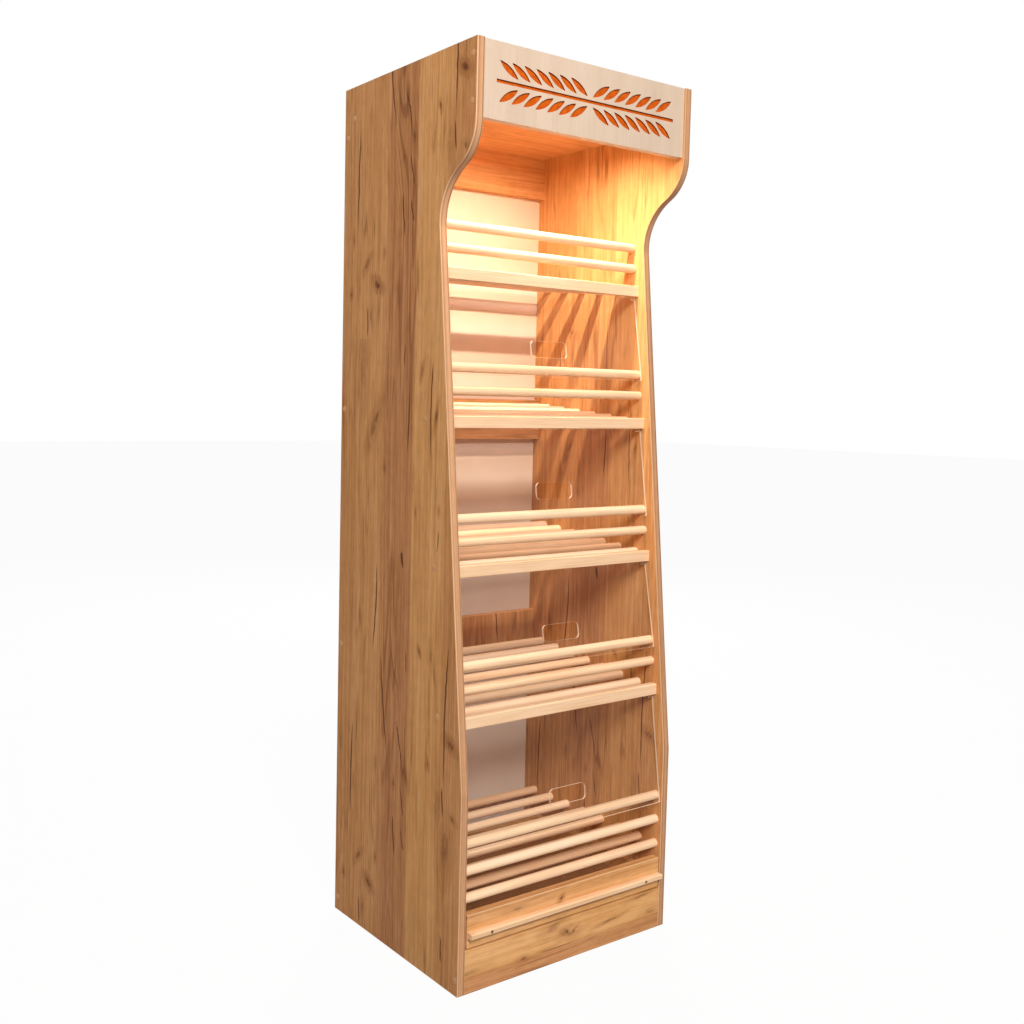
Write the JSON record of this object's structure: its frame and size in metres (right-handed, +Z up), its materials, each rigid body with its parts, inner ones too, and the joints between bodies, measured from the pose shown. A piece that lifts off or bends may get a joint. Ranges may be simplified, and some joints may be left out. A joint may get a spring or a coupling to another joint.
{
  "type": "bread rack",
  "caption": "Tall wooden bakery rack with sloping rod shelves, clear lift-up flaps, a lit header, a crumb drawer and curved side panels.",
  "frame": {"origin": "on the floor, under the centre of the rack's bounding box, drawer handle included", "axes": "+Z up, the front with the flaps faces -Y, +X to the right seen from the front"},
  "size_m": [0.6016, 0.495, 1.9],
  "materials": {
    "oak_laminate": "satin",
    "oak_edge": "satin",
    "birch": "matte",
    "pine": "satin",
    "dowel_wood": "satin",
    "white_board": "satin",
    "clear_sheet": "clear",
    "pin_steel": "satin",
    "cap": "matte",
    "screw_steel": "satin",
    "runner_steel": "satin",
    "profile": "satin",
    "profile_cap": "matte",
    "diffuser": "milky",
    "strip": "matte",
    "driver_case": "matte",
    "inlet": "satin",
    "wire": "satin"
  },
  "bodies": {
    "rack": {"back_crosspiece_low": "oak_laminate", "back_crosspiece_middle": "oak_laminate", "back_crosspiece_top": "oak_laminate", "back_panel": "white_board", "back_panel_screws": "screw_steel", "bottom_board": "oak_laminate", "cover_caps": "cap", "driver_inlet": "inlet", "driver_screws": "screw_steel", "fence_rods_tier_1": "dowel_wood", "fence_rods_tier_2": "dowel_wood", "fence_rods_tier_3": "dowel_wood", "fence_rods_tier_4": "dowel_wood", "fence_rods_tier_5": "dowel_wood", "fixed_runner_screws": "screw_steel", "fixed_runners": "runner_steel", "front_plinth": "oak_laminate", "header_board": "birch", "led_diffuser": "diffuser", "led_driver": "driver_case", "led_end_caps": "profile_cap", "led_feed_wire": "wire", "led_profile": "profile", "led_strip": "strip", "left_edge_band": "oak_edge", "left_side_panel": "oak_laminate", "panel_screws": "screw_steel", "rail_dowels": "dowel_wood", "rear_plinth": "oak_laminate", "right_edge_band": "oak_edge", "right_side_panel": "oak_laminate", "shelf_rail_tier_1": "pine", "shelf_rail_tier_2": "pine", "shelf_rail_tier_3": "pine", "shelf_rail_tier_4": "pine", "shelf_rods_tier_1": "dowel_wood", "shelf_rods_tier_2": "dowel_wood", "shelf_rods_tier_3": "dowel_wood", "shelf_rods_tier_4": "dowel_wood", "shelf_rods_tier_5": "dowel_wood", "top_board": "oak_laminate"},
    "flap_2": {"flap_tier_2": "clear_sheet", "flap_pins_tier_2": "pin_steel"},
    "flap_3": {"flap_tier_3": "clear_sheet", "flap_pins_tier_3": "pin_steel"},
    "flap_4": {"flap_tier_4": "clear_sheet", "flap_pins_tier_4": "pin_steel"},
    "flap_5": {"flap_tier_5": "clear_sheet", "flap_pins_tier_5": "pin_steel"},
    "drawer": {"drawer_front": "oak_laminate", "drawer_left_side": "oak_laminate", "drawer_right_side": "oak_laminate", "drawer_back": "oak_laminate", "drawer_bottom": "white_board", "drawer_handle": "pine", "handle_screws": "screw_steel", "drawer_dowels": "dowel_wood", "moving_runners": "runner_steel", "moving_runner_screws": "screw_steel"}
  },
  "joints": [
    {"name": "flap_2_hinge", "type": "hinge", "parent": "rack", "child": "flap_2", "pos_m": [0, -0.1008, 1.4471], "axis": [-1, 0, 0], "range_deg": [0, 80]},
    {"name": "flap_3_hinge", "type": "hinge", "parent": "rack", "child": "flap_3", "pos_m": [0, -0.13157, 1.1424], "axis": [-1, 0, 0], "range_deg": [0, 80]},
    {"name": "flap_4_hinge", "type": "hinge", "parent": "rack", "child": "flap_4", "pos_m": [0, -0.16034, 0.8377], "axis": [-1, 0, 0], "range_deg": [0, 80]},
    {"name": "flap_5_hinge", "type": "hinge", "parent": "rack", "child": "flap_5", "pos_m": [0, -0.1961, 0.533], "axis": [-1, 0, 0], "range_deg": [0, 80]},
    {"name": "drawer_slide", "type": "slide", "parent": "rack", "child": "drawer", "axis": [0, -1, 0], "range_m": [0, 0.3]}
  ]
}
